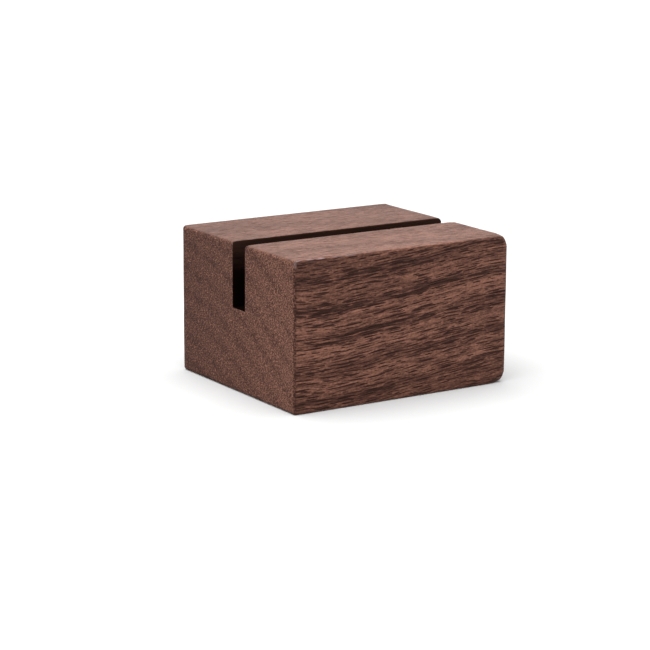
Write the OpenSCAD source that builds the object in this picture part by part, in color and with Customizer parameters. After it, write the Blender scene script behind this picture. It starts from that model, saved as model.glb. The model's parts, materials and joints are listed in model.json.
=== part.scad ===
// Table number holder: a solid block of walnut with a slot sawn through its whole length.
// The card stands in the slot. The block rests on its flat base.
// +X runs along the slot, -Y is the front, +Z is up, and the origin is the middle of the base.

/* [Block] */
// Length of the block, along the slot
block_length = 50; // [40:1:120]
// Depth of the block, from front to back
block_depth = 43; // [30:1:80]
// Height of the block
block_height = 30; // [22:1:60]

/* [Slot] */
// Width of the saw cut that the card stands in
slot_width = 4.6; // [1.6:0.1:8]
// Depth of the saw cut below the top face
slot_depth = 13.2; // [6:0.1:16]
// How far the slot lies forward of the middle of the block
slot_forward = 1; // [0:0.1:4]

/* [Sanded edges] */
// Radius sanded onto the four upright corners
corner_radius = 1.2; // [0.5:0.1:4]
// Radius sanded onto the long edges of the top and the base
long_edge_radius = 1; // [0.4:0.1:4]
// Radius sanded onto the end-grain edges of the top and the base
end_edge_radius = 1.4; // [0.4:0.1:4]
// Radius sanded onto the front lip of the slot
front_lip_radius = 0.8; // [0.2:0.1:2]
// Radius sanded onto the back lip of the slot
back_lip_radius = 0.3; // [0.2:0.1:2]

/* [Hidden] */
$fn = 64;
// How far each cutting shape runs past the face that it cuts
cut_past = 1;
slot_floor = block_height - slot_depth;
slot_front = -slot_forward - slot_width / 2;
slot_back = -slot_forward + slot_width / 2;

// A rectangle centred on the origin, with its four corners rounded.
module rounded_rectangle(width, height, radius) {
    square([width - 2 * radius, height], center = true);
    square([width, height - 2 * radius], center = true);
    for (x = [-1, 1], y = [-1, 1])
        translate([x * (width / 2 - radius), y * (height / 2 - radius)]) circle(radius);
}

// The plan of the block, as long in Z as the block is high.
module plan_prism() {
    linear_extrude(block_height) rounded_rectangle(block_length, block_depth, corner_radius);
}

// The end-grain outline, run along X.
module end_prism() {
    translate([-block_length / 2, 0, block_height / 2]) rotate([90, 0, 90])
        linear_extrude(block_length) rounded_rectangle(block_depth, block_height, long_edge_radius);
}

// The front outline, run along Y.
module front_prism() {
    translate([0, block_depth / 2, block_height / 2]) rotate([90, 0, 0])
        linear_extrude(block_depth) rounded_rectangle(block_length, block_height, end_edge_radius);
}

// The block before the slot is sawn: the three outlines' common solid, with all twelve edges eased.
module eased_block() {
    intersection() {
        plan_prism();
        end_prism();
        front_prism();
    }
}

// The wood taken off one lip of the slot: a square of the lip's radius less the quarter round that stays.
// The lip's corner is at the origin, and side is -1 for the front lip and 1 for the back one.
module lip_relief(radius, side) {
    difference() {
        translate([side < 0 ? -radius : -cut_past, -radius]) square([radius + cut_past, radius + cut_past]);
        translate([side * radius, -radius]) circle(radius);
    }
}

// The outline of the slot, seen along the block: Y across and Z up.
module slot_outline() {
    translate([slot_front, slot_floor]) square([slot_width, slot_depth + cut_past]);
    translate([slot_front, block_height]) lip_relief(front_lip_radius, -1);
    translate([slot_back, block_height]) lip_relief(back_lip_radius, 1);
}

// The slot, run out past both ends of the block.
module slot() {
    translate([-block_length / 2 - cut_past, 0, 0]) rotate([90, 0, 90])
        linear_extrude(block_length + 2 * cut_past) slot_outline();
}

// The whole holder: one piece of wood, eased all round, with the slot sawn along it.
module block() {
    color("#5e4037") difference() {
        eased_block();
        slot();
    }
}

block();
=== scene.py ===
"""A walnut table number holder: one eased block with a card slot sawn along it.

The block is meshed one side at a time. Each side carries rows of points beside its edges, and its own
open pores, cut as small grooves that follow the grain. The sides are then welded, and the rows are rolled
in onto the block's sanded outline, so that every arris, corner and slot lip is round. The shape and the
grain are reckoned in millimetres, and the mesh and the studio are in metres.
"""

import json
import logging
import math
from collections.abc import Sequence
from dataclasses import dataclass, field
from enum import Enum
from functools import reduce

import bpy
import numpy as np
from mathutils import Matrix, Vector
from mathutils.geometry import delaunay_2d_cdt


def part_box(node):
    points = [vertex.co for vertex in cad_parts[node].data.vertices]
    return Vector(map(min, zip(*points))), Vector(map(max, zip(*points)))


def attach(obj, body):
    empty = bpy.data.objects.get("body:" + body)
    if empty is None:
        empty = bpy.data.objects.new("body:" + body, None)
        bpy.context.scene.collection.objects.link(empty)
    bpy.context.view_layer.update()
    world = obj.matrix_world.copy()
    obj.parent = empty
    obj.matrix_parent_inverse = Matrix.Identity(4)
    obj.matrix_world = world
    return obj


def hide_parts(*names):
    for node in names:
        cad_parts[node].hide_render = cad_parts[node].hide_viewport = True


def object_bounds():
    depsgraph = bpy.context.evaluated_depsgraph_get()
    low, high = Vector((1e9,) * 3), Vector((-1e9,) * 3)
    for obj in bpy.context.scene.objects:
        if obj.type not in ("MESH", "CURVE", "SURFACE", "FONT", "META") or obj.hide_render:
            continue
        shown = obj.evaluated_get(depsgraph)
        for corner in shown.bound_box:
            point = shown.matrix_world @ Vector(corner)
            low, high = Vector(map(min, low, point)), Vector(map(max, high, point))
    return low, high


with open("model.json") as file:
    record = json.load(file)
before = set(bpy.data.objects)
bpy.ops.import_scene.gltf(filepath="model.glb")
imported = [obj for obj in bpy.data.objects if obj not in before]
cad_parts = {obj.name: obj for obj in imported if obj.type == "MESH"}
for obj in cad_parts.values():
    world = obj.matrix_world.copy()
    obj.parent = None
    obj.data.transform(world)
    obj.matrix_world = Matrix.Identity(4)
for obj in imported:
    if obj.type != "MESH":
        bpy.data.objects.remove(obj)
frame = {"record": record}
cad_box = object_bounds()

LOG = logging.getLogger("table_number_holder")
METRES_PER_MM = 0.001
MM_PER_METRE = 1000.0
# Decimal places of a millimetre that lengths are kept to, and that welded points agree to
KEPT, WELDED = 4, 3
# Lengths in millimetres too short to matter
TINY = 1e-6
X, Y, Z = 0, 1, 2

Points = np.ndarray
Pair = tuple[float, float]
Triple = tuple[float, float, float]


class Cut(Enum):
    """How a side of the block lies to the grain."""

    LONG_GRAIN = "long grain"
    END_GRAIN = "end grain"


class Tied(Enum):
    """How some points are tied together before a side is meshed."""

    LOOSE = "loose"
    CHAIN = "chain"
    RING = "ring"


# --------------------------------------------------------------------------------------------------
# The wood
# --------------------------------------------------------------------------------------------------


def eased_share(value: Points) -> Points:
    """Clamps a value to 0 to 1 and smooths both ends."""
    share = np.clip(value, 0.0, 1.0)
    return share * share * (3.0 - 2.0 * share)


@dataclass(frozen=True)
class Grain:
    """How the growth rings and fibres lie in the block, in millimetres from the middle of its base.

    The fibres run along X. They lie level at the left end, rise through the middle and level out again at
    the right end. The rings are arcs round a pith that is behind the block and below it.

    Attributes:
        pith_y, pith_z: How far back and how high the pith lies.
        ring_width: How far apart the dark lines of the rings are.
        first_ring: How far from the pith one dark line is.
        rise_from_x, rise_to_x: Where the fibres start to rise, and where they level out.
        rise: How far they rise.
    """

    pith_y: float = 33.0
    pith_z: float = -58.0
    ring_width: float = 4.7
    first_ring: float = 80.9
    rise_from_x: float = -20.0
    rise_to_x: float = 26.0
    rise: float = 3.6

    @property
    def run(self) -> float:
        """The length over which the fibres rise."""
        return self.rise_to_x - self.rise_from_x

    def lift(self, x: Points) -> Points:
        """How far the fibres at x have risen above where they lie at the left end."""
        return self.rise * eased_share((x - self.rise_from_x) / self.run)

    def slope(self, x: float) -> float:
        """How steeply the fibres rise at x, as a rise over a run."""
        share = min(max((x - self.rise_from_x) / self.run, 0.0), 1.0)
        return 6.0 * self.rise * share * (1.0 - share) / self.run

    def lateness(self, places: Points) -> Points:
        """How near each place is to the dark late wood of a ring.

        Args:
            places: Places in the block, one row each.

        Returns:
            One number a place, from 0 in the pale early wood to 1 at the dark line.
        """
        level = places[:, Z] - self.lift(places[:, X])
        radius = np.hypot(places[:, Y] - self.pith_y, level - self.pith_z)
        turn = (radius - self.first_ring) / self.ring_width
        return 0.5 + 0.5 * np.cos(2.0 * math.pi * turn)


@dataclass(frozen=True)
class Pore:
    """One open pore in a side: a spindle-shaped groove, or a round pit in the end grain.

    Attributes:
        u, v: Its place in the side's own plane.
        turn: How far its length is turned from the side's first axis, in radians.
        half_length, half_width: Half of its length and of its width.
        depth: Its depth.
    """

    # Where a groove starts to taper, and how wide it is there, as shares of its half length and width
    SHOULDER = 0.6
    NARROWED = 0.72
    # How many times its width a pit's length stays under, and the corners of its rim
    PIT_UP_TO = 2.0
    PIT_CORNERS = 6

    u: float
    v: float
    turn: float
    half_length: float
    half_width: float
    depth: float

    @property
    def is_pit(self) -> bool:
        """Whether the pore is cut square across, so that it shows as a round pit."""
        return self.half_length < self.PIT_UP_TO * self.half_width

    def _placed(self, shape: Sequence[Pair]) -> Points:
        """Turns and moves a shape to its place in the side.

        Args:
            shape: Points along and across the pore.

        Returns:
            The same points in the side's plane.
        """
        along, across = np.array(shape, float).T
        cosine, sine = math.cos(self.turn), math.sin(self.turn)
        moved = (self.u + along * cosine - across * sine, self.v + along * sine + across * cosine)
        return np.stack(moved, axis=1)

    def rim(self) -> Points:
        """Works out the pore's outline on the surface.

        Returns:
            Its points, in order.
        """
        tip, side = self.half_length, self.half_width
        if self.is_pit:
            turns = [2.0 * math.pi * k / self.PIT_CORNERS for k in range(self.PIT_CORNERS)]
            return self._placed([(tip * math.cos(t), side * math.sin(t)) for t in turns])
        shoulder, narrowed = self.SHOULDER * tip, self.NARROWED * side
        lower = [(-shoulder, -narrowed), (0.0, -side), (shoulder, -narrowed)]
        upper = [(shoulder, narrowed), (0.0, side), (-shoulder, narrowed)]
        return self._placed([(-tip, 0.0), *lower, (tip, 0.0), *upper])

    def bed(self) -> Points:
        """Works out the bottom of the pore.

        Returns:
            The points along it.
        """
        if self.is_pit:
            return self._placed([(0.0, 0.0)])
        shoulder = self.SHOULDER * self.half_length
        return self._placed([(-shoulder, 0.0), (0.0, 0.0), (shoulder, 0.0)])

    def spine(self, step: float) -> Points:
        """Works out the middle line of the pore.

        Args:
            step: How far apart its points may be.

        Returns:
            Points along it from tip to tip.
        """
        reach = self.half_length
        count = max(2, int(2.0 * reach / step) + 1)
        return self._placed([(along, 0.0) for along in np.linspace(-reach, reach, count)])


@dataclass(frozen=True)
class PoreKind:
    """A size of pore, and how closely it is sown.

    Attributes:
        per_mm2: Tries for each square millimetre of the side. Some find no room.
        half_length: The middle half length.
        half_width: The smallest and the largest half width.
        depth: The smallest and the largest depth.
        length_spread: How widely the lengths vary.
        late_stretch: How much longer pores are in the dark late wood.
        longest: The longest pore, as a multiple of half_length.
        pit_stretch: The least and the most that a pit is longer than it is wide.
        early_share: How many of the tries are kept in the pale early wood.
    """

    per_mm2: float
    half_length: float
    half_width: Pair
    depth: Pair
    length_spread: float = 0.42
    late_stretch: float = 0.15
    longest: float = 3.0
    pit_stretch: Pair = (0.9, 1.3)
    early_share: float = 0.30


LONG_GRAIN_PORES = (
    PoreKind(per_mm2=0.80, half_length=1.50, half_width=(0.120, 0.180), depth=(0.08, 0.14)),
    PoreKind(per_mm2=1.40, half_length=0.80, half_width=(0.080, 0.120), depth=(0.05, 0.10)),
    PoreKind(per_mm2=0.80, half_length=0.40, half_width=(0.055, 0.080), depth=(0.04, 0.06)),
)
PLAIN_PORES = (
    PoreKind(per_mm2=0.60, half_length=0.70, half_width=(0.075, 0.115), depth=(0.05, 0.09)),
)
END_GRAIN_PORES = (
    PoreKind(per_mm2=1.60, half_length=0.10, half_width=(0.065, 0.110), depth=(0.06, 0.12)),
)


class Ground:
    """Keeps account of which parts of a side are taken up by pores, on a fine grid."""

    # The width of one cell, and how many cells lie beyond each side of the rectangle
    CELL = 0.07
    BORDER = 4

    def __init__(self, low: Points, high: Points) -> None:
        """Makes an empty ground over a rectangle.

        Args:
            low: The rectangle's lowest corner in the side's plane.
            high: Its highest corner.
        """
        self.low = low - self.BORDER * self.CELL
        cells = np.ceil((high - low) / self.CELL).astype(int) + 2 * self.BORDER + 1
        self.taken = np.zeros(cells, bool)

    def _cells(self, points: Points) -> tuple[Points, Points]:
        """The grid's rows and columns that hold some points."""
        at = ((points - self.low) / self.CELL).astype(int)
        return at[:, 0], at[:, 1]

    def is_free(self, points: Points) -> Points:
        """Whether each of some points lies on free ground."""
        return ~self.taken[self._cells(points)]

    def take(self, points: Points, reach: float) -> None:
        """Takes up the ground round some points.

        Args:
            points: The points.
            reach: How far round each of them the ground is taken.
        """
        widest = reach + self.CELL / 2
        steps = np.arange(-reach, widest, self.CELL)
        around = np.array([(a, b) for a in steps for b in steps if math.hypot(a, b) <= widest])
        self.taken[self._cells((points[:, None, :] + around[None]).reshape(-1, 2))] = True


# --------------------------------------------------------------------------------------------------
# The block's shape
# --------------------------------------------------------------------------------------------------


def rolled(a: Points, b: Points, radius: Points | float) -> Points:
    """The signed distance to what two solids share, with the edge between them rolled round.

    Args:
        a: Signed distances to one solid's surface, negative inside it.
        b: Signed distances to the other's.
        radius: The radius of the rolled edge.

    Returns:
        Signed distances to the shared solid.
    """
    corner = np.hypot(np.maximum(a + radius, 0.0), np.maximum(b + radius, 0.0))
    return np.minimum(-radius, np.maximum(a, b)) + corner


@dataclass(frozen=True)
class Easing:
    """How far each kind of edge is sanded round, in millimetres.

    Attributes:
        upright: The four upright corners.
        long_edge: The long edges of the top and the base.
        left_end: The level edges of the left end.
        right_end: The level edges of the right end.
        front_corner: The tips of the front right corner, which are the most rounded.
        front_lip: The slot's front lip.
        back_lip: The slot's back lip.
        slot_mouth: The slot's edges where it leaves the ends.
        hand_wander: How much the sanding comes and goes, as a share.
        corner_reach: How far the front right corner's own rounding reaches, both ways added.
        turn_reach: The stretch over which a long edge's radius turns into an end's.
        mouth_reach: The stretch over which a lip's radius turns into the slot mouth's.
    """

    upright: float = 0.8
    long_edge: float = 0.55
    left_end: float = 0.85
    right_end: float = 1.1
    front_corner: float = 2.5
    front_lip: float = 0.8
    back_lip: float = 0.3
    slot_mouth: float = 0.15
    hand_wander: float = 0.12
    corner_reach: float = 4.5
    turn_reach: float = 3.2
    mouth_reach: float = 1.2

    @property
    def widest(self) -> float:
        """The largest radius, which is how far from an edge the rows of points go."""
        return self.front_corner * (1.0 + self.hand_wander)


@dataclass(frozen=True)
class Side:
    """One flat side of the block before its edges are eased.

    Attributes:
        name: What a maker calls the side.
        facing: The axis that the side faces along.
        outward: 1 if it faces up that axis, and -1 if it faces down it.
        level: Where the side lies on that axis.
        corners: Its outline, in the two other axes in X, Y, Z order.
        cut: How it lies to the grain.
        pores: The pores sown in it.
        sawn: Whether the saw left it, rather than the sander.
    """

    name: str
    facing: int
    outward: int
    level: float
    corners: tuple[Pair, ...]
    cut: Cut
    pores: tuple[PoreKind, ...]
    sawn: bool = False

    @property
    def axes(self) -> tuple[int, int]:
        """The two axes that the side spreads along."""
        first, second = (axis for axis in (X, Y, Z) if axis != self.facing)
        return first, second

    @property
    def span(self) -> tuple[Points, Points]:
        """The lowest and the highest corner of the rectangle round the outline."""
        corners = np.array(self.corners)
        return corners.min(axis=0), corners.max(axis=0)

    def in_block(self, flat: Points) -> Points:
        """Finds where points of the side's plane lie in the block.

        Args:
            flat: The points, in the side's plane.

        Returns:
            Their places in the block.
        """
        places = np.empty((len(flat), 3))
        places[:, self.facing] = self.level
        places[:, self.axes] = flat
        return places

    def edges(self) -> list[tuple[Points, Points]]:
        """The outline's straight edges, each as its two ends."""
        ends = np.array(self.corners, float)
        return list(zip(ends, np.roll(ends, -1, axis=0), strict=True))

    def room(self, flat: Points) -> Points:
        """Measures how much room there is round each point.

        Args:
            flat: The points, in the side's plane.

        Returns:
            How far each lies inside the outline, with points outside it below 0.
        """
        nearest = np.full(len(flat), np.inf)
        crossings = np.zeros(len(flat), int)
        for start, end in self.edges():
            run = end - start
            share = np.clip((flat - start) @ run / (run @ run), 0.0, 1.0)
            nearest = np.minimum(nearest, np.linalg.norm(flat - start - share[:, None] * run, axis=1))
            if start[0] == end[0]:
                low, high = sorted((start[1], end[1]))
                crossings += (flat[:, 0] < start[0]) & (flat[:, 1] >= low) & (flat[:, 1] < high)
        return np.where(crossings % 2 == 1, nearest, -nearest)


@dataclass
class Pattern:
    """The points of one side before it is meshed, and the lines that have to stay between them.

    Attributes:
        count: How many points there are so far.
        flat: The points, in the side's plane, batch by batch.
        depth: How far below the surface each lies.
        pore: 1 for each that is at the bottom of a pore, and 0 elsewhere.
        ties: The pairs of points that a line has to join.
    """

    count: int = 0
    flat: list[Points] = field(default_factory=list)
    depth: list[Points] = field(default_factory=list)
    pore: list[Points] = field(default_factory=list)
    ties: list[tuple[int, int]] = field(default_factory=list)

    def add(self, points: Points, tied: Tied = Tied.LOOSE, depth: float = 0.0, pore: float = 0.0) -> None:
        """Adds some points.

        Args:
            points: The points, in the side's plane.
            tied: Whether each is tied to the next.
            depth: How far below the surface they lie.
            pore: 1 at the bottom of a pore and 0 elsewhere.
        """
        size = len(points)
        tie_count = {Tied.LOOSE: 0, Tied.CHAIN: size - 1, Tied.RING: size}[tied]
        self.ties += [(self.count + k, self.count + (k + 1) % size) for k in range(tie_count)]
        self.flat.append(points)
        self.depth.append(np.full(size, depth))
        self.pore.append(np.full(size, pore))
        self.count += size


@dataclass
class SideMesh:
    """The points and triangles of one side, still flat.

    Attributes:
        places: Where each point lies in the block.
        triangles: Three points a row, turned to face outward.
        depth: How far below the surface each point lies.
        pore: 1 at the bottom of a pore and 0 on the open surface.
    """

    places: Points
    triangles: Points
    depth: Points
    pore: Points


@dataclass
class HolderBlock:
    """The whole holder: a block of walnut with a card slot sawn through its length.

    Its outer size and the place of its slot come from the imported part.

    Attributes:
        name: What a maker calls it.
        node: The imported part's node that it stands for.
        body: The body that it rides on.
        slot_width: The width of the saw cut.
        grain: How its rings and fibres lie.
        easing: How far its edges are sanded round.
        row_spacing: How far apart the rows between two edges are.
        filler_spacing: How far apart the loose points of a side's middle are.
        seed: What its random draws start from.
        low, high: Its lowest and its highest corner.
        slot_y, slot_floor: Where the middle of its slot lies in Y, and how high its floor is.
        lines: The places of its rows along X, Y and Z.
        chance: Its random draws.
    """

    # Rows over the arc of a usual, a small and the widest rolled edge
    ARC_ROWS = 3
    SMALL_ARC_ROWS = 2
    WIDE_ARC_ROWS = 5
    # How close two rows may be, and how near an edge or a row a point counts as on it
    CLOSEST_ROWS = 0.05
    ON_EDGE = 1e-4
    ON_ROW = 1e-3
    # The room round loose points, and how far each is moved, as a share of their spacing
    FILLER_MARGIN = 0.2
    FILLER_SPREAD = 0.3
    # The room between a pore and an edge or another pore, and how far it strays from the fibres
    PORE_MARGIN = 0.14
    PORE_GAP = 0.05
    PORE_STRAY = 0.012
    # How the mesher is told to keep only what lies inside the outline
    INSIDE_OUTLINE = 1
    # The steps that ease the points, how far off a slope is felt, and the least squared slope to trust
    EASING_STEPS = 5
    FEELER = 1e-3
    LEAST_SLOPE = 0.25
    # The slow waves of the sander's hand: how fast each turns along X, Y and Z, and where it starts
    WAVES = ((0.31, 0.0, 0.0, 1.1), (0.23, 0.47, 0.0, 2.3), (0.0, 0.0, 0.53, 0.4))
    # Edges that turn more than this are shown sharp
    SHARP_OVER = math.radians(21.0)

    name: str = "walnut_block"
    node: str = "block"
    body: str = "root"
    slot_width: float = 4.6
    grain: Grain = Grain()
    easing: Easing = Easing()
    row_spacing: float = 0.75
    filler_spacing: float = 1.1
    seed: int = 11
    low: Points = field(init=False)
    high: Points = field(init=False)
    slot_y: float = field(init=False)
    slot_floor: float = field(init=False)
    lines: tuple[Points, Points, Points] = field(init=False)
    chance: np.random.Generator = field(init=False)

    def __post_init__(self) -> None:
        """Takes the block's size and its slot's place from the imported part."""
        low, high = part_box(self.node)
        self.low, self.high = (np.round(np.array(c) * MM_PER_METRE, KEPT) for c in (low, high))
        mounts = {mount["name"]: mount for mount in frame["record"]["mounts"]}
        _, slot_y, slot_floor = mounts["card_slot"]["pos_m"]
        self.slot_y = slot_y * MM_PER_METRE
        self.slot_floor = slot_floor * MM_PER_METRE
        self.chance = np.random.default_rng(self.seed)
        self.lines = (self._lines_along(), self._lines_across(), self._lines_up())

    @property
    def slot_front(self) -> float:
        """Where the slot's front wall lies in Y."""
        return self.slot_y - self.slot_width / 2

    @property
    def slot_back(self) -> float:
        """Where the slot's back wall lies in Y."""
        return self.slot_y + self.slot_width / 2

    # The rows of points beside the edges ----------------------------------------------------------

    def _offsets(self, radius: float, rows: int) -> Points:
        """How far from an edge its rows lie, so that they share the rolled arc out evenly."""
        turns = np.linspace(0.0, math.pi / 4, rows + 1)
        return radius * (1.0 - np.tan(turns))

    def _between(self, low: float, high: float) -> Points:
        """Evenly spaced lines from low to high, with neither end."""
        count = max(1, round((high - low) / self.row_spacing))
        return np.linspace(low, high, count + 1)[1:-1]

    def _edge_rows(self) -> Points:
        """Places the rows beside every outer edge.

        Returns:
            How far each row is from the edge.
        """
        fine = self._offsets(self.easing.long_edge, self.ARC_ROWS)
        wide = self._offsets(self.easing.widest, self.WIDE_ARC_ROWS)[:self.ARC_ROWS]
        return np.unique(np.round(np.concatenate([fine, wide]), WELDED))

    def _lines_along(self) -> Points:
        """Places the rows that cross the block's length.

        Returns:
            The X of each.
        """
        rows = self._edge_rows()
        low, high = self.low[X], self.high[X]
        middle = self._between(low + rows.max(), high - rows.max())
        return np.sort(np.concatenate([low + rows, middle, high - rows]))

    def _lines_across(self) -> Points:
        """Places the rows that cross the block's depth.

        Returns:
            The Y of each.
        """
        rows = self._edge_rows()
        low, high = self.low[Y], self.high[Y]
        front_lip = self.slot_front - self._offsets(self.easing.front_lip, self.ARC_ROWS)
        back_lip = self.slot_back + self._offsets(self.easing.back_lip, self.SMALL_ARC_ROWS)
        front_cheek = self._between(low + rows.max(), front_lip.min())
        back_cheek = self._between(back_lip.max(), high - rows.max())
        floor = self._between(self.slot_front, self.slot_back)
        parts = [low + rows, front_cheek, front_lip, floor, back_lip, back_cheek, high - rows]
        return np.unique(np.round(np.concatenate(parts), KEPT))

    def _lines_up(self) -> Points:
        """Places the rows that cross the block's height.

        Returns:
            The Z of each.
        """
        rows = self._edge_rows()
        low, high = self.low[Z], self.high[Z]
        front_lip = high - self._offsets(self.easing.front_lip, self.ARC_ROWS)
        back_lip = high - self._offsets(self.easing.back_lip, self.SMALL_ARC_ROWS)
        below = self._between(low + rows.max(), self.slot_floor)
        above = self._between(self.slot_floor, high - rows.max())
        parts = [low + rows, below, [self.slot_floor], above, front_lip, back_lip, high - rows]
        lines = np.unique(np.round(np.concatenate(parts), KEPT))
        spaced = np.diff(lines, append=np.inf) > self.CLOSEST_ROWS
        spaced[-2:] = True
        return lines[spaced]

    # The sides ------------------------------------------------------------------------------------

    def sides(self) -> list[Side]:
        """Lists the flat sides of the block and of its slot.

        Returns:
            The sides, in the order that they are meshed.
        """
        (x0, y0, z0), (x1, y1, z1) = self.low, self.high
        front, back, floor = self.slot_front, self.slot_back, self.slot_floor

        def rectangle(a: float, b: float, c: float, d: float) -> tuple[Pair, ...]:
            """An outline from (a, b) to (c, d)."""
            return ((a, b), (c, b), (c, d), (a, d))

        face, wall = rectangle(x0, z0, x1, z1), rectangle(x0, floor, x1, z1)
        slot_edge = ((y1, z1), (back, z1), (back, floor), (front, floor), (front, z1))
        end = ((y0, z0), (y1, z0), *slot_edge, (y0, z1))
        long_grain, end_grain = Cut.LONG_GRAIN, Cut.END_GRAIN
        full, plain, pits = LONG_GRAIN_PORES, PLAIN_PORES, END_GRAIN_PORES
        return [
            Side("front", Y, -1, y0, face, long_grain, full),
            Side("back", Y, 1, y1, face, long_grain, full),
            Side("front_cheek_top", Z, 1, z1, rectangle(x0, y0, x1, front), long_grain, full),
            Side("back_cheek_top", Z, 1, z1, rectangle(x0, back, x1, y1), long_grain, full),
            Side("base", Z, -1, z0, rectangle(x0, y0, x1, y1), long_grain, plain),
            Side("left_end", X, -1, x0, end, end_grain, pits),
            Side("right_end", X, 1, x1, end, end_grain, pits),
            Side("slot_front_wall", Y, 1, front, wall, long_grain, plain, sawn=True),
            Side("slot_back_wall", Y, -1, back, wall, long_grain, plain, sawn=True),
            Side("slot_floor", Z, 1, floor, rectangle(x0, front, x1, back), long_grain, (), sawn=True),
        ]

    def _outline(self, side: Side) -> Points:
        """Places the points round a side, where its neighbours' rows meet it.

        Args:
            side: The side.

        Returns:
            The points, in order.
        """
        around = []
        for start, end in side.edges():
            moving = 0 if start[1] == end[1] else 1
            lines = self.lines[side.axes[moving]]
            low, high = sorted((start[moving], end[moving]))
            steps = lines[(lines > low + TINY) & (lines < high - TINY)]
            steps = steps if end[moving] > start[moving] else steps[::-1]
            run = np.tile(start, (len(steps), 1))
            run[:, moving] = steps
            around.append(np.vstack([start[None], run]))
        return np.vstack(around)

    def _rows(self, side: Side) -> Points:
        """Places the points of the rows beside a side's edges.

        Args:
            side: The side.

        Returns:
            The points near an edge where two rows cross.
        """
        first, second = (self.lines[axis] for axis in side.axes)
        crossing = np.stack(np.meshgrid(first, second, indexing="ij"), axis=-1).reshape(-1, 2)
        room = side.room(crossing)
        return crossing[(room > self.ON_EDGE) & (room <= self.easing.widest + self.ON_ROW)]

    def _filler(self, side: Side) -> Points:
        """Scatters loose points that keep the middle of a side evenly meshed.

        Args:
            side: The side.

        Returns:
            The points.
        """
        low, high = side.span
        steps = [np.arange(low[k], high[k], self.filler_spacing) for k in (0, 1)]
        grid = np.stack(np.meshgrid(*steps, indexing="ij"), axis=-1).reshape(-1, 2)
        spread = self.FILLER_SPREAD * self.filler_spacing
        scattered = grid + self.chance.uniform(-spread, spread, grid.shape)
        return scattered[side.room(scattered) > self.easing.widest + self.FILLER_MARGIN]

    def _pore_turn(self, side: Side, x: float) -> float:
        """How far a pore at x is turned from a long-grain side's first axis, in radians."""
        rise = self.grain.slope(x) if side.facing == Y else 0.0
        return math.atan(rise) + self.chance.normal(0.0, self.PORE_STRAY)

    def _pick_pore(self, side: Side, kind: PoreKind, spot: Points, late: float) -> Pore:
        """Picks the size and the turn of one pore.

        Args:
            side: The side it is in.
            kind: Its kind.
            spot: Its place in the side's plane.
            late: How near it is to the dark line of a ring, where pores run longer.

        Returns:
            The pore.
        """
        width = self.chance.uniform(*kind.half_width)
        depth = self.chance.uniform(*kind.depth)
        length = width * self.chance.uniform(*kind.pit_stretch)
        turn = 0.0
        if side.cut is Cut.LONG_GRAIN:
            stretch = math.exp(self.chance.normal(kind.late_stretch * late, kind.length_spread))
            length = kind.half_length * min(stretch, kind.longest)
            turn = self._pore_turn(side, spot[0])
        return Pore(spot[0], spot[1], turn, length, width, depth)

    def _sow(self, side: Side, ground: Ground) -> list[Pore]:
        """Sows a side's pores, more thickly in the dark late wood.

        Args:
            side: The side.
            ground: Its free ground, which the pores take up.

        Returns:
            The pores that found room.
        """
        low, high = side.span
        pores = []
        for kind in side.pores:
            tries = int(kind.per_mm2 * np.prod(high - low))
            spots = self.chance.uniform(low, high, (tries, 2))
            lateness = self.grain.lateness(side.in_block(spots))
            kept = self.chance.random(tries) < kind.early_share + (1.0 - kind.early_share) * lateness
            for spot, late in zip(spots[kept], lateness[kept], strict=True):
                pore = self._pick_pore(side, kind, spot, late)
                spine = pore.spine(Ground.CELL)
                near_edge = side.room(spine).min() < pore.half_width + self.PORE_MARGIN
                if near_edge or not ground.is_free(np.vstack([pore.rim(), spine])).all():
                    continue
                ground.take(spine, pore.half_width + self.PORE_GAP)
                pores.append(pore)
        return pores

    def _pattern(self, side: Side) -> Pattern:
        """Lays out one side: its outline, its rows, its filler and its pores.

        Args:
            side: The side.

        Returns:
            Its points and their ties.
        """
        ground = Ground(*side.span)
        pores = self._sow(side, ground)
        loose = np.vstack([self._rows(side), self._filler(side)])
        pattern = Pattern()
        pattern.add(self._outline(side), Tied.RING)
        pattern.add(loose[ground.is_free(loose)])
        for pore in pores:
            pattern.add(pore.rim(), Tied.RING)
            pattern.add(pore.bed(), Tied.CHAIN, pore.depth, 1.0)
        LOG.info("%s: %d pores", side.name, len(pores))
        return pattern

    def _mesh_side(self, side: Side) -> SideMesh:
        """Meshes one side, with every triangle turned to face outward.

        Args:
            side: The side.

        Returns:
            Its mesh, still flat.
        """
        pattern = self._pattern(side)
        spots = [Vector(spot) for spot in np.vstack(pattern.flat)]
        _, _, triangles, source, _, _ = delaunay_2d_cdt(
            spots, pattern.ties, [], self.INSIDE_OUTLINE, TINY, True
        )
        origin = np.array([ids[0] for ids in source])
        flat = np.vstack(pattern.flat)[origin]
        faces = np.array(triangles)
        faces = faces[side.room(flat[faces].mean(axis=1)) > 0.0]
        places = side.in_block(flat)
        first, second, third = (places[faces[:, k]] for k in range(3))
        turned = np.cross(second - first, third - first)[:, side.facing] * side.outward < 0
        faces[turned] = faces[turned][:, ::-1]
        LOG.info("%s: %d points, %d triangles", side.name, len(places), len(faces))
        depth, pore = (np.concatenate(part)[origin] for part in (pattern.depth, pattern.pore))
        return SideMesh(places, faces, depth, pore)

    # The sanded outline ---------------------------------------------------------------------------

    def _wander(self, places: Points) -> Points:
        """Lets the sanding come and go along each edge, in slow waves.

        Args:
            places: Places in the block.

        Returns:
            The share of its usual radius that an edge has at each place.
        """
        *turns, starts = np.array(self.WAVES).T
        waves = np.sin(places @ np.array(turns) + starts)
        return 1.0 + self.easing.hand_wander * waves.mean(axis=1)

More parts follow.
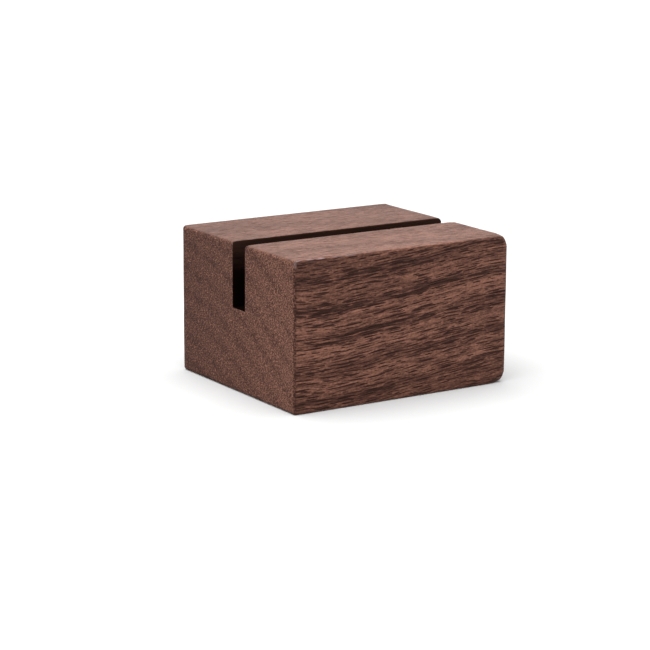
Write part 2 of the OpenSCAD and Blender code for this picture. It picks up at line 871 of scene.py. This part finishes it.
    def _outside(self, places: Points) -> Points:
        """Measures how far each place is from the finished surface.

        Args:
            places: Places in the block.

        Returns:
            The signed distances, negative in the wood.
        """
        easing = self.easing
        middle = (self.low + self.high) / 2
        beyond = np.abs(places - middle) - (self.high - self.low) / 2
        x_side, y_side, z_side = beyond.T
        wander = self._wander(places)
        on_left, in_front = (places[:, axis] < middle[axis] for axis in (X, Y))
        end_radius = np.where(on_left, easing.left_end, easing.right_end)
        upright = rolled(x_side, y_side, easing.upright * wander)
        near_end = eased_share(0.5 + (x_side - y_side) / easing.turn_reach)
        level_radius = easing.long_edge + (end_radius - easing.long_edge) * near_end
        near_corner = eased_share(1.0 + (x_side + y_side) / easing.corner_reach)
        near_corner *= in_front & ~on_left
        level_radius += (easing.front_corner - level_radius) * near_corner
        block = rolled(upright, z_side, level_radius * wander)
        from_wall = self.slot_width / 2 - np.abs(places[:, Y] - self.slot_y)
        from_slot = np.minimum(from_wall, places[:, Z] - self.slot_floor)
        lip = np.where(places[:, Y] < self.slot_y, easing.front_lip, easing.back_lip)
        at_mouth = eased_share(0.5 + (x_side - z_side) / easing.mouth_reach)
        return rolled(block, from_slot, lip + (easing.slot_mouth - lip) * at_mouth)

    def _slope(self, places: Points) -> Points:
        """Feels which way the distance to the surface grows.

        Args:
            places: Places in the block.

        Returns:
            The outward direction at each, as long as the distance is steep.
        """
        slope = np.empty_like(places)
        for axis in (X, Y, Z):
            step = np.zeros(3)
            step[axis] = self.FEELER
            slope[:, axis] = self._outside(places + step) - self._outside(places - step)
        return slope / (2 * self.FEELER)

    def _ease(self, places: Points) -> Points:
        """Rolls the sharp block's points in onto the finished surface.

        Args:
            places: Where the points lie on the sharp block.

        Returns:
            Where they lie on the finished one.
        """
        eased = places.copy()
        for _ in range(self.EASING_STEPS):
            slope = self._slope(eased)
            size = np.maximum((slope**2).sum(axis=1), self.LEAST_SLOPE)
            eased -= (self._outside(eased) / size)[:, None] * slope
        return eased

    # The object -----------------------------------------------------------------------------------

    def build(self) -> bpy.types.Object:
        """Makes the block's mesh and puts it in the scene.

        Returns:
            The block, in metres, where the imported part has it.
        """
        sides = self.sides()
        meshes = [self._mesh_side(side) for side in sides]
        places, depth, pore = (
            np.concatenate([getattr(made, part) for made in meshes]) for part in ("places", "depth", "pore")
        )
        starts = np.cumsum([0] + [len(made.places) for made in meshes[:-1]])
        triangles = np.vstack([made.triangles + k for made, k in zip(meshes, starts, strict=True)])
        sawn = np.repeat([side.sawn for side in sides], [len(made.triangles) for made in meshes])
        spots = np.round(places, WELDED)
        _, first, welded = np.unique(spots, axis=0, return_index=True, return_inverse=True)
        eased = self._ease(places[first])
        slope = self._slope(eased)
        outward = slope / np.maximum(np.linalg.norm(slope, axis=1), TINY)[:, None]
        finished = (eased - outward * depth[first][:, None]) * METRES_PER_MM
        mesh = bpy.data.meshes.new(self.name)
        mesh.from_pydata(finished, [], welded.reshape(-1)[triangles].tolist())
        mesh.polygons.foreach_set("material_index", sawn.astype(np.int32))
        in_pore = mesh.attributes.new("pore", "FLOAT", "POINT")
        in_pore.data.foreach_set("value", pore[first].astype(np.float32))
        facing = mesh.attributes.new("facing", "FLOAT_VECTOR", "POINT")
        facing.data.foreach_set("vector", outward.astype(np.float32).reshape(-1))
        mesh.shade_smooth()
        mesh.set_sharp_from_angle(angle=self.SHARP_OVER)
        block = bpy.data.objects.new(self.name, mesh)
        bpy.context.scene.collection.objects.link(block)
        LOG.info("%s: %d points, %d triangles", self.name, len(mesh.vertices), len(mesh.polygons))
        return block

    def dress(
        self, block: bpy.types.Object, sanded: bpy.types.Material, scorched: bpy.types.Material
    ) -> None:
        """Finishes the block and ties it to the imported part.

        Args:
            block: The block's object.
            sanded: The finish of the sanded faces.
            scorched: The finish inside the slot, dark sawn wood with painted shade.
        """
        block.data.materials.append(sanded)
        block.data.materials.append(scorched)
        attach(block, self.body)
        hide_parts(self.node)


# --------------------------------------------------------------------------------------------------
# Finishes
# --------------------------------------------------------------------------------------------------

Socket = bpy.types.NodeSocket
Colour = Socket | Triple


@dataclass(frozen=True)
class Number:
    """A number that a material's nodes work out, to be reckoned with like a plain one.

    Attributes:
        recipe: The recipe that it belongs to.
        socket: Where it comes out.
    """

    recipe: "Recipe"
    socket: Socket

    def __add__(self, other: "Number | float") -> "Number":
        """The two together."""
        return self.recipe.maths("ADD", self, other)

    def __sub__(self, other: "Number | float") -> "Number":
        """What is left when the other is taken away."""
        return self.recipe.maths("SUBTRACT", self, other)

    def __rsub__(self, other: float) -> "Number":
        """What is left when this is taken away from the other."""
        return self.recipe.maths("SUBTRACT", other, self)

    def __mul__(self, other: "Number | float") -> "Number":
        """The two multiplied."""
        return self.recipe.maths("MULTIPLY", self, other)

    def __pow__(self, power: float) -> "Number":
        """This raised to a power."""
        return self.recipe.maths("POWER", self, power)

    def __abs__(self) -> "Number":
        """This without its sign."""
        return self.recipe.maths("ABSOLUTE", self)

    __radd__ = __add__
    __rmul__ = __mul__

    def squared(self) -> "Number":
        """This times itself."""
        return self * self

    def cosine(self) -> "Number":
        """The cosine of this in radians."""
        return self.recipe.maths("COSINE", self)

    def between(self, start: float, end: float) -> "Number":
        """Steps smoothly from 0 to 1 as this goes from one value to another.

        Args:
            start: Where the step is 0.
            end: Where it is 1, which may be above the start or below it.

        Returns:
            The step.
        """
        fed = {"Value": self, "From Min": start, "From Max": end}
        made = self.recipe.node("ShaderNodeMapRange", fed, interpolation_type="SMOOTHSTEP", clamp=True)
        return Number(self.recipe, made.outputs["Result"])


def greatest(*values: Number) -> Number:
    """The greatest of some numbers."""
    return reduce(lambda a, b: a.recipe.maths("MAXIMUM", a, b), values)


Value = float | Colour | Number


@dataclass(frozen=True)
class Weave:
    """A soft noise in the wood.

    Attributes:
        cells: How many blobs lie in a millimetre along, across and up.
        detail: How many finer layers lie on top of the first.
        roughness: How strong each finer layer is beside the one before it.
    """

    cells: Triple
    detail: float = 2.0
    roughness: float = 0.55


class Recipe:
    """A short way to lay out one material's nodes."""

    # What the noise is about before it is centred on 0
    NOISE_MIDDLE = 0.5

    def __init__(self, name: str) -> None:
        """Starts a material with nothing but its output.

        Args:
            name: The material's name.
        """
        self.material = bpy.data.materials.new(name)
        self.material.use_nodes = True
        self.tree = self.material.node_tree
        self.tree.nodes.clear()
        self.output = self.tree.nodes.new("ShaderNodeOutputMaterial")

    def feed(self, socket: Socket, value: Value) -> None:
        """Links a socket to another, or sets its own value.

        Args:
            socket: The socket to feed.
            value: What it gets.
        """
        source = value.socket if isinstance(value, Number) else value
        if isinstance(source, bpy.types.NodeSocket):
            self.tree.links.new(source, socket)
        elif socket.type == "RGBA":
            socket.default_value = (*source, 1.0)
        else:
            socket.default_value = source

    def node(self, kind: str, fed: dict[str | int, Value], **settings: str | bool) -> bpy.types.Node:
        """Adds a node.

        Args:
            kind: Its type.
            fed: What its sockets get, by their names or places.
            **settings: Its other settings.

        Returns:
            The node.
        """
        made = self.tree.nodes.new(kind)
        for name, value in settings.items():
            setattr(made, name, value)
        for socket, value in fed.items():
            self.feed(made.inputs[socket], value)
        return made

    def maths(self, operation: str, a: Value, b: Value = 0.0) -> Number:
        """One step of arithmetic on two numbers."""
        return Number(self, self.node("ShaderNodeMath", {0: a, 1: b}, operation=operation).outputs[0])

    def stretched(self, vector: Socket, by: Triple) -> Socket:
        """A vector with each of its parts multiplied by its own amount."""
        return self.node("ShaderNodeVectorMath", {0: vector, 1: by}, operation="MULTIPLY").outputs[0]

    def parts(self, vector: Socket) -> list[Number]:
        """The three parts of a vector."""
        return [Number(self, part) for part in self.node("ShaderNodeSeparateXYZ", {0: vector}).outputs]

    def joined(self, x: Number, y: Number, z: Number) -> Socket:
        """A vector with three given parts."""
        return self.node("ShaderNodeCombineXYZ", {X: x, Y: y, Z: z}).outputs[0]

    def place(self) -> Socket:
        """The place in the block, in millimetres."""
        metres = self.node("ShaderNodeTexCoord", {}).outputs["Object"]
        return self.stretched(metres, (MM_PER_METRE,) * 3)

    def stored(self, name: str, output: str) -> Socket:
        """What the mesh's points hold under a name, as one of the ways to read it."""
        return self.node("ShaderNodeAttribute", {}, attribute_name=name).outputs[output]

    def noise(self, at: Socket, weave: Weave) -> Number:
        """Lays out a soft noise.

        Args:
            at: The place to read it at.
            weave: Its grain.

        Returns:
            The noise, from about -0.5 to 0.5.
        """
        fed = {"Vector": self.stretched(at, weave.cells), "Scale": 1.0}
        fed.update({"Detail": weave.detail, "Roughness": weave.roughness})
        made = self.node("ShaderNodeTexNoise", fed, noise_dimensions="3D")
        return Number(self, made.outputs["Fac"]) - self.NOISE_MIDDLE

    def tones(self, value: Number, colours: Sequence[Triple]) -> Socket:
        """Turns a number from 0 to 1 into a colour.

        Args:
            value: The number.
            colours: The colours on the way, evenly spaced.

        Returns:
            The colour.
        """
        made = self.node("ShaderNodeValToRGB", {"Fac": value})
        stops = made.color_ramp.elements
        while len(stops) < len(colours):
            stops.new(1.0)
        for k, (stop, colour) in enumerate(zip(stops, colours, strict=True)):
            stop.position = k / (len(colours) - 1)
            stop.color = (*colour, 1.0)
        return made.outputs["Color"]

    def blended(self, share: Number, a: Colour, b: Colour) -> Socket:
        """Blends two colours.

        Args:
            share: How much of the second shows, from 0 to 1.
            a: The first.
            b: The second.

        Returns:
            The blend.
        """
        made = self.node("ShaderNodeMix", {}, data_type="RGBA")
        fed = {"Factor_Float": share, "A_Color": a, "B_Color": b}
        for socket in made.inputs:
            if socket.identifier in fed:
                self.feed(socket, fed[socket.identifier])
        return next(socket for socket in made.outputs if socket.identifier == "Result_Color")

    def surfaced(self, shader: bpy.types.Node) -> bpy.types.Material:
        """Gives the material its surface, and hands it over."""
        self.feed(self.output.inputs["Surface"], shader.outputs["BSDF"])
        return self.material

    def coated(
        self, colour: Socket, rough: Number, gloss: float, relief: Number, depth: float
    ) -> bpy.types.Material:
        """Gives the material a surface with a fine relief, and hands it over.

        Args:
            colour: Its colour.
            rough: Its roughness.
            gloss: How strongly it reflects.
            relief: How high each point stands.
            depth: How many metres high a relief of 1 is.

        Returns:
            The finished material.
        """
        bump = self.node("ShaderNodeBump", {"Strength": 1.0, "Distance": depth, "Height": relief})
        fed = {"Base Color": colour, "Roughness": rough, "Specular IOR Level": gloss}
        fed["Normal"] = bump.outputs["Normal"]
        return self.surfaced(self.node("ShaderNodeBsdfPrincipled", fed))


@dataclass(frozen=True)
class WoodPlace:
    """Where a point lies in the wood, and which way its surface faces.

    Attributes:
        recipe: The material's recipe.
        fibre: The place along, across and up the curving fibres, in millimetres.
        along, across, up: The parts of that place.
        radius: How far it is from the pith.
        facing: The three parts of the surface's direction.
        on_end: 1 on the end grain and 0 elsewhere.
        on_level: 1 on the top and the base and 0 elsewhere.
    """

    recipe: Recipe
    fibre: Socket
    along: Number
    across: Number
    up: Number
    radius: Number
    facing: list[Number]
    on_end: Number
    on_level: Number

    def noise(self, weave: Weave) -> Number:
        """A soft noise that runs with the fibres."""
        return self.recipe.noise(self.fibre, weave)


@dataclass(frozen=True)
class Strokes:
    """Short dark strokes of pores, thickest in the late wood.

    Attributes:
        cells: How many strokes lie in a millimetre along, across and up the fibres.
        reach: How far a stroke fills its cell.
        strength: How dark it is, as a share.
        early: The part of its reach that a stroke has in early wood.
        late: The part that late wood adds.
        edge: How far outside and inside its outline a stroke starts and is full.
    """

    cells: Triple
    reach: float
    strength: float
    early: float = 0.72
    late: float = 0.42
    edge: Pair = (-0.03, 0.06)

    def drawn(self, at: WoodPlace, lateness: Number) -> Number:
        """Draws the strokes.

        Args:
            at: The place in the wood.
            lateness: How dark the growth ring is.

        Returns:
            The strength in a stroke and 0 between strokes.
        """
        make = at.recipe
        fed = {"Vector": make.stretched(at.fibre, self.cells), "Scale": 1.0}
        cell = make.node("ShaderNodeTexVoronoi", fed, feature="F1", voronoi_dimensions="3D")
        picked = make.node("ShaderNodeSeparateColor", {0: cell.outputs["Color"]}).outputs[0]
        size = Number(make, picked) * (self.reach * (self.early + self.late * lateness))
        inside = size - Number(make, cell.outputs["Distance"])
        return self.strength * inside.between(*self.edge)


@dataclass(frozen=True)
class OiledWalnut:
    """Sanded walnut with a thin matt oil: banded long grain, open pores and speckled end grain.

    Its tone is a step on a ramp from 0, dark, to 1, pale.

    Attributes:
        grain: How the rings and fibres lie.
        dark, brown, pale: The wood at the start, the middle and the end of the ramp.
        pore: The open pores and strokes.
        rubbed: A pale highlight painted on a stretch of the front top arris.
        sheen: A grey reflection painted over the top and, faintly, over the ends.
        roughness: The roughness of the bare wood.
        gloss: How strongly the oil reflects.
        relief: How far the fibres stand up, in metres.
        strokes: The strokes of the pores too fine to carve.
    """

    # The noises that bend the fibres, and how many millimetres they bend them by
    SWAY = Weave((0.05, 0.10, 0.10), 1.0)
    HEAVE = Weave((0.06, 0.13, 0.11))
    BEND = 2.4
    # The noises of the figure
    PATCHES = Weave((0.07, 0.30, 0.30))
    STREAKS = Weave((0.06, 3.0, 3.0), 3.0)
    LINES = Weave((0.035, 1.30, 1.30), 4.0)
    STRANDS = Weave((0.20, 3.20, 3.20), 3.0)
    THREADS = Weave((0.10, 4.0, 4.0))
    SPECKS = Weave((1.8, 3.0, 3.0))
    MOTTLE = Weave((1.0, 3.2, 4.2))
    WORMS = Weave((0.8, 2.0, 3.0), 1.0)
    WEAR = Weave((0.50, 1.6, 1.6), 3.0)
    # How squarely a surface has to face one way to count as an end or as level
    SQUARE = (0.55, 0.90)
    # The bands: how narrow, how faint and full, how whole and streaked, and how much the top and ends lose
    BAND_SHARPNESS = 3.0
    PATCH_EDGE = (-0.20, 0.20)
    BAND_FAINT, BAND_FULLER = 0.25, 0.85
    STREAK_EDGE = (-0.14, 0.12)
    BAND_WHOLE, BAND_STREAKED = 0.15, 1.15
    BANDS_LOST = 0.55
    # The tone everywhere: its middle, and how strongly each part of the figure shows
    MIDDLE = 0.51
    BANDS_SHOW, LINES_SHOW, STRANDS_SHOW, SPECKS_SHOW = 0.35, 0.85, 1.00, 0.90
    BACK_FADE = 0.0035
    # The tone of the top: calmer, and paler in its middle
    TOP_CALM = 0.24
    TOP_LIFT, TOP_FADE = 0.066, 0.00012
    # The tone of the end grain: mottled, with pale worm-like ridges
    MOTTLE_SHOWS, WORMS_SHOW, WORM_WIDTH = 3.50, 0.15, 0.045
    END_DROP = 0.142
    # The tone of the upright sides: paler at the waist, darker at the corners, paler to the right
    WAIST, WAIST_LIFT = 12.5, 0.072
    WAIST_FADE, CORNER_FADE, SIDE_DRIFT = 0.00056, 0.0015, 0.0008
    # The threads between the strokes, and how much of the strokes the top and the ends lose
    THREAD_EDGE = (0.07, 0.17)
    THREADS_LATE, THREADS_SHOW = 0.16, 0.50
    TOP_LOSES, END_LOSES = 0.70, 0.45
    # The carved pores: where they turn dark, how dark they are, and how much less so on the top
    PORE_EDGE = (0.0, 0.30)
    PORES_SHOW, PORES_OFF_TOP = 0.92, 0.30
    # The painted reflection: how much grey gloss is painted over the top and over the ends
    TOP_SHEEN, END_SHEEN = 0.14, 0.03
    # What fibres, pores and end grain add to the roughness
    FIBRE_ROUGH, PORE_ROUGH, END_ROUGH = 0.16, 0.20, 0.25
    # The dark upright corners, broken up by the strands
    CORNER_EDGE = (0.05, 0.20)
    BROKEN_EDGE = (0.12, -0.08)
    CORNER_DARK, CORNER_BROKEN = 0.25, 0.55
    # The painted highlight on the front top arris, painted near the left end, and its tip down the left
    # corner
    ARRIS_EDGE = (0.08, 0.22)
    UPWARD = (0.1, 0.4)
    FORWARD = (-0.1, -0.4)
    HELD = (-4.0, -20.0)
    WEAR_EDGE = (-0.14, 0.10)
    TIP = (27.8, 29.6)
    TIP_SHOWS, WEAR_SHOWS = 0.55, 0.44

    grain: Grain
    dark: Triple = (0.0240, 0.0088, 0.0062)
    brown: Triple = (0.0930, 0.0372, 0.0240)
    pale: Triple = (0.2350, 0.1060, 0.0715)
    pore: Triple = (0.0215, 0.0062, 0.0038)
    # A pale painted highlight colour for the front top arris
    rubbed: Triple = (0.300, 0.225, 0.230)
    # Painted reflection: a grey gloss colour blended over the top and the ends
    sheen: Triple = (0.170, 0.135, 0.125)
    roughness: float = 0.55
    gloss: float = 0.13
    relief: float = 0.00003
    strokes: tuple[Strokes, ...] = (
        Strokes(cells=(0.17, 2.5, 2.5), reach=0.64, strength=0.95),
        Strokes(cells=(0.34, 4.0, 4.0), reach=0.60, strength=0.60),
    )

    def _place(self, make: Recipe) -> WoodPlace:
        """Finds each point's place along the curving fibres, and which way it faces.

        Args:
            make: The material's recipe.

        Returns:
            The place.
        """
        grain = self.grain
        inside = make.place()
        x, y, z = make.parts(inside)
        across = y + self.BEND * make.noise(inside, self.SWAY)
        lift = grain.rise * x.between(grain.rise_from_x, grain.rise_to_x)
        up = z - lift + self.BEND * make.noise(inside, self.HEAVE)
        radius = ((across - grain.pith_y).squared() + (up - grain.pith_z).squared()) ** 0.5
        facing = make.parts(make.stored("facing", "Vector"))
        on_end, on_level = (abs(facing[axis]).between(*self.SQUARE) for axis in (X, Z))
        fibre = make.joined(x, across, up)
        return WoodPlace(make, fibre, x, across, up, radius, facing, on_end, on_level)

    def _lateness(self, at: WoodPlace) -> Number:
        """Draws the growth rings, with each dark line coming and going along its length.

        Args:
            at: The place in the wood.

        Returns:
            How dark the ring is, from 0 to about 1.
        """
        turn = (at.radius - self.grain.first_ring) * (2.0 * math.pi / self.grain.ring_width)
        line = (0.5 + 0.5 * turn.cosine()) ** self.BAND_SHARPNESS
        patches = at.noise(self.PATCHES).between(*self.PATCH_EDGE)
        return line * (self.BAND_FAINT + self.BAND_FULLER * patches)

    def _bands(self, at: WoodPlace, late: Number) -> Number:
        """Streaks the growth rings, and calms them on the top and on the ends.

        Args:
            at: The place in the wood.
            late: How dark the growth ring is.

        Returns:
            How dark the band is.
        """
        shown = 1.0 - self.BANDS_LOST * (at.on_end + at.on_level)
        streaks = at.noise(self.STREAKS).between(*self.STREAK_EDGE)
        return late * shown * (self.BAND_WHOLE + self.BAND_STREAKED * streaks)

    def _tone(self, at: WoodPlace, bands: Number, strands: Number, specks: Number) -> Number:
        """Adds up the tone of the wood between its pores.

        Args:
            at: The place in the wood.
            bands: How dark the band is.
            strands: The noise of the fibres.
            specks: The noise of the fine specks.

        Returns:
            The tone, on the ramp.
        """
        calm = 1.0 - self.TOP_CALM * at.on_level
        lines = self.LINES_SHOW * at.noise(self.LINES)
        figure = calm * (lines + self.STRANDS_SHOW * strands) + self.SPECKS_SHOW * specks
        tone = self.MIDDLE - self.BANDS_SHOW * bands + figure - self.BACK_FADE * at.across
        on_top = self.TOP_LIFT - self.TOP_FADE * at.along.squared()
        worms = abs(at.noise(self.WORMS)).between(self.WORM_WIDTH, 0.0)
        mottle = self.MOTTLE_SHOWS * at.noise(self.MOTTLE)
        on_end = mottle + self.WORMS_SHOW * worms - self.BACK_FADE * at.across - self.END_DROP
        to_corners = 1.0 + self.CORNER_FADE * at.along.squared()
        fade = self.WAIST_FADE * ((at.up - self.WAIST).squared() * to_corners)
        on_side = self.WAIST_LIFT - fade + self.SIDE_DRIFT * at.along
        upright = 1.0 - at.on_level - at.on_end
        return tone + at.on_level * on_top + at.on_end * on_end + upright * on_side

    def _fine_pores(self, at: WoodPlace, late: Number, bands: Number) -> Number:
        """Draws the pores that are too fine to carve.

        Args:
            at: The place in the wood.
            late: How dark the growth ring is.
            bands: How dark the band is.

        Returns:
            How dark they make each point, from 0 to 1.
        """
        threads = at.noise(self.THREADS) + self.THREADS_LATE * bands
        threads = self.THREADS_SHOW * threads.between(*self.THREAD_EDGE)
        drawn = [strokes.drawn(at, late) for strokes in self.strokes]
        lost = self.TOP_LOSES * at.on_level + self.END_LOSES * at.on_end
        return greatest(*drawn, threads) * (1.0 - lost)

    def _edges(self, at: WoodPlace, wood: Socket, strands: Number) -> Socket:
        """Darkens the upright corners, where end grain drinks oil, and paints a highlight on a stretch of
        the top arris.

        Args:
            at: The place in the wood.
            wood: The colour of the wood so far.
            strands: The noise of the fibres, which breaks the dark corners up.

        Returns:
            The colour with its edges finished.
        """
        x, y, z = (part.squared() for part in at.facing)
        corner = (x * y).between(*self.CORNER_EDGE)
        broken = self.CORNER_DARK + self.CORNER_BROKEN * strands.between(*self.BROKEN_EDGE)
        wood = at.recipe.blended(corner * broken, wood, self.dark)
        # Painted highlight: a pale colour on part of the front top arris and on the tip of the left front
        # corner
        held = at.along.between(*self.HELD)
        arris = (y * z).between(*self.ARRIS_EDGE) * at.facing[Z].between(*self.UPWARD)
        worn = arris * held * at.noise(self.WEAR).between(*self.WEAR_EDGE)
        tip = corner * held * at.up.between(*self.TIP) * at.facing[Y].between(*self.FORWARD)
        shown = self.WEAR_SHOWS * greatest(worn, self.TIP_SHOWS * tip)
        return at.recipe.blended(shown, wood, self.rubbed)

    def build(self) -> bpy.types.Material:
        """Makes the material.

        Returns:
            The walnut, for the sanded sides.
        """
        make = Recipe("oiled_walnut")
        at = self._place(make)
        strands, specks = (at.noise(weave) for weave in (self.STRANDS, self.SPECKS))
        late = self._lateness(at)
        bands = self._bands(at, late)
        tone = self._tone(at, bands, strands, specks)
        wood = make.tones(tone, (self.dark, self.brown, self.pale))
        fine = self._fine_pores(at, late, bands)
        carved = Number(make, make.stored("pore", "Fac")).between(*self.PORE_EDGE)
        pores = greatest(carved * (self.PORES_SHOW - self.PORES_OFF_TOP * at.on_level), fine)
        wood = make.blended(pores, wood, self.pore)
        # Painted reflection: the top and the ends are blended towards a grey gloss colour
        veil = self.TOP_SHEEN * at.on_level + self.END_SHEEN * at.on_end
        wood = make.blended(veil, wood, self.sheen)
        wood = self._edges(at, wood, strands)
        rough = self.roughness + self.FIBRE_ROUGH * strands
        rough = rough + self.PORE_ROUGH * pores + self.END_ROUGH * at.on_end
        return make.coated(wood, rough, self.gloss, strands + specks - fine, self.relief)


@dataclass(frozen=True)
class ScorchedCut:
    """The walls and the floor of the slot, which the saw left rough and dark, with painted shade that
    darkens them to near black with depth.

    Attributes:
        top_z: How high the top of the block is, in millimetres.
        mouth, deep: The dark sawn wood at the top, and the painted shade at the bottom of the slot.
        roughness: Its roughness.
        relief: How far the saw's scratches stand up, in metres.
    """

    SCRATCHES = Weave((0.35, 3.0, 3.0), 3.0)
    WANDER = Weave((0.15, 0.5, 0.5))
    # How far down the painted shade starts and is darkest, and how ragged that is
    CHAR = (-1.0, 7.5)
    CHAR_WANDERS, CHAR_SCRATCHED = 5.0, 3.0
    SCRATCH_ROUGH = 0.15

    top_z: float
    mouth: Triple = (0.0250, 0.0120, 0.0085)
    # Near-black painted shade at the bottom of the slot
    deep: Triple = (0.0024, 0.0013, 0.0010)
    roughness: float = 0.925
    relief: float = 0.00005

    def build(self) -> bpy.types.Material:
        """Makes the material.

        Returns:
            The dark sawn walnut with painted shade, for the sawn sides.
        """
        make = Recipe("scorched_walnut")
        place = make.place()
        scratches, wander = (make.noise(place, weave) for weave in (self.SCRATCHES, self.WANDER))
        # Painted shade: the slot darkens to near black with depth below the top
        below = self.top_z - make.parts(place)[Z]
        ragged = below + self.CHAR_WANDERS * wander + self.CHAR_SCRATCHED * scratches
        wood = make.blended(ragged.between(*self.CHAR), self.mouth, self.deep)
        rough = self.roughness + self.SCRATCH_ROUGH * scratches
        return make.coated(wood, rough, 0.0, scratches, self.relief)


@dataclass(frozen=True)
class PalePaper:
    """The plain pale surface that the holder stands on."""

    colour: Triple = (0.43, 0.43, 0.43)

    def build(self) -> bpy.types.Material:
        """Makes the material."""
        make = Recipe("pale_paper")
        return make.surfaced(make.node("ShaderNodeBsdfDiffuse", {"Color": self.colour}))


# --------------------------------------------------------------------------------------------------
# The studio
# --------------------------------------------------------------------------------------------------


def bearing(azimuth: float, elevation: float) -> Vector:
    """The direction some degrees round from the front towards the right end, and above level."""
    turn, tilt = math.radians(azimuth), math.radians(elevation)
    return Vector((math.sin(turn) * math.cos(tilt), -math.cos(turn) * math.cos(tilt), math.sin(tilt)))


@dataclass(frozen=True)
class Viewpoint:
    """Where the camera stands, and what it is aimed at.

    Attributes:
        azimuth: Degrees round from the front towards the right end.
        elevation: Degrees above level.
        roll: Degrees that the camera leans.
        distance: Metres from the aim point.
        aim: The aim point, in metres from the middle of the block.
        lens: The focal length in millimetres.
        sensor: The width of the sensor in millimetres.
        nearest, farthest: How near and how far it sees, in metres.
    """

    azimuth: float = -32.8
    elevation: float = 13.0
    roll: float = 0.3
    distance: float = 0.460
    aim: Triple = (-0.0036, 0.0011, -0.0043)
    lens: float = 126.5
    sensor: float = 36.0
    nearest: float = 0.01
    farthest: float = 50.0

    def build(self, middle: Vector) -> None:
        """Puts the camera in the scene.

        Args:
            middle: The middle of the block.
        """
        back = bearing(self.azimuth, self.elevation)
        right = Vector((0.0, 0.0, 1.0)).cross(back).normalized()
        lean = Matrix.Rotation(math.radians(self.roll), 3, back)
        turn = lean @ Matrix((right, back.cross(right), back)).transposed()
        stand = middle + Vector(self.aim) + back * self.distance
        data = bpy.data.cameras.new("camera")
        data.sensor_width = self.sensor
        data.lens = self.lens
        data.clip_start, data.clip_end = self.nearest, self.farthest
        camera = bpy.data.objects.new("camera", data)
        camera.matrix_world = Matrix.Translation(stand) @ turn.to_4x4()
        bpy.context.scene.collection.objects.link(camera)
        bpy.context.scene.camera = camera


@dataclass(frozen=True)
class Diffuser:
    """A wide distant studio light that shines evenly over the floor and casts very soft shadows.

    Attributes:
        name: The light's name.
        azimuth: Degrees round to where it hangs, from the front towards the right end.
        elevation: Degrees above level.
        spread: Degrees that the light spans.
        strength: Its strength in watts a square metre.
    """

    name: str
    azimuth: float
    elevation: float
    spread: float
    strength: float

    def build(self) -> None:
        """Hangs the light."""
        data = bpy.data.lights.new(self.name, "SUN")
        data.angle = math.radians(self.spread)
        data.energy = self.strength
        lamp = bpy.data.objects.new(self.name, data)
        towards = bearing(self.azimuth, self.elevation)
        lamp.rotation_euler = towards.to_track_quat("Z", "Y").to_euler()
        bpy.context.scene.collection.objects.link(lamp)


@dataclass(frozen=True)
class Studio:
    """The floor, the soft light and the camera round the block.

    Attributes:
        viewpoint: The camera.
        lights: The lights.
        sky: The strength of the even light all round.
        floor_radius: How far the floor reaches, in metres.
        floor_steps: The corners of its rim.
    """

    viewpoint: Viewpoint = Viewpoint()
    lights: tuple[Diffuser, ...] = (
        Diffuser("overhead", azimuth=-90.0, elevation=80.0, spread=75.0, strength=5.6),
    )
    sky: float = 1.0
    floor_radius: float = 12.0
    floor_steps: int = 96

    def _floor(self, level: float) -> None:
        """Lays the round pale floor.

        Args:
            level: How high it lies.
        """
        turns = [2.0 * math.pi * k / self.floor_steps for k in range(self.floor_steps)]
        rim = [(self.floor_radius * math.cos(t), self.floor_radius * math.sin(t), level) for t in turns]
        mesh = bpy.data.meshes.new("floor")
        mesh.from_pydata(rim, [], [list(range(self.floor_steps))])
        mesh.materials.append(PalePaper().build())
        floor = bpy.data.objects.new("floor", mesh)
        bpy.context.scene.collection.objects.link(floor)

    def _sky(self) -> None:
        """Surrounds the scene with even white light."""
        world = bpy.data.worlds.new("white_room")
        world.use_nodes = True
        background = world.node_tree.nodes["Background"]
        background.inputs["Color"].default_value = (1.0, 1.0, 1.0, 1.0)
        background.inputs["Strength"].default_value = self.sky
        bpy.context.scene.world = world

    def build(self, low: Vector, high: Vector) -> None:
        """Sets up everything round the block.

        Args:
            low: The block's lowest corner.
            high: Its highest corner.
        """
        self._floor(low[Z])
        self._sky()
        for light in self.lights:
            light.build()
        self.viewpoint.build((Vector(low) + Vector(high)) / 2)
        view = bpy.context.scene.view_settings
        view.view_transform = "Standard"
        view.look = "None"
        LOG.info("studio: %d soft light, a floor, a white room and a camera", len(self.lights))


def main() -> None:
    """Builds the studio and the holder."""
    logging.basicConfig(level=logging.INFO, format="%(name)s %(message)s")
    Studio().build(*cad_box)
    holder = HolderBlock()
    block = holder.build()
    holder.dress(block, OiledWalnut(holder.grain).build(), ScorchedCut(float(holder.high[Z])).build())


if __name__ == "__main__":
    main()
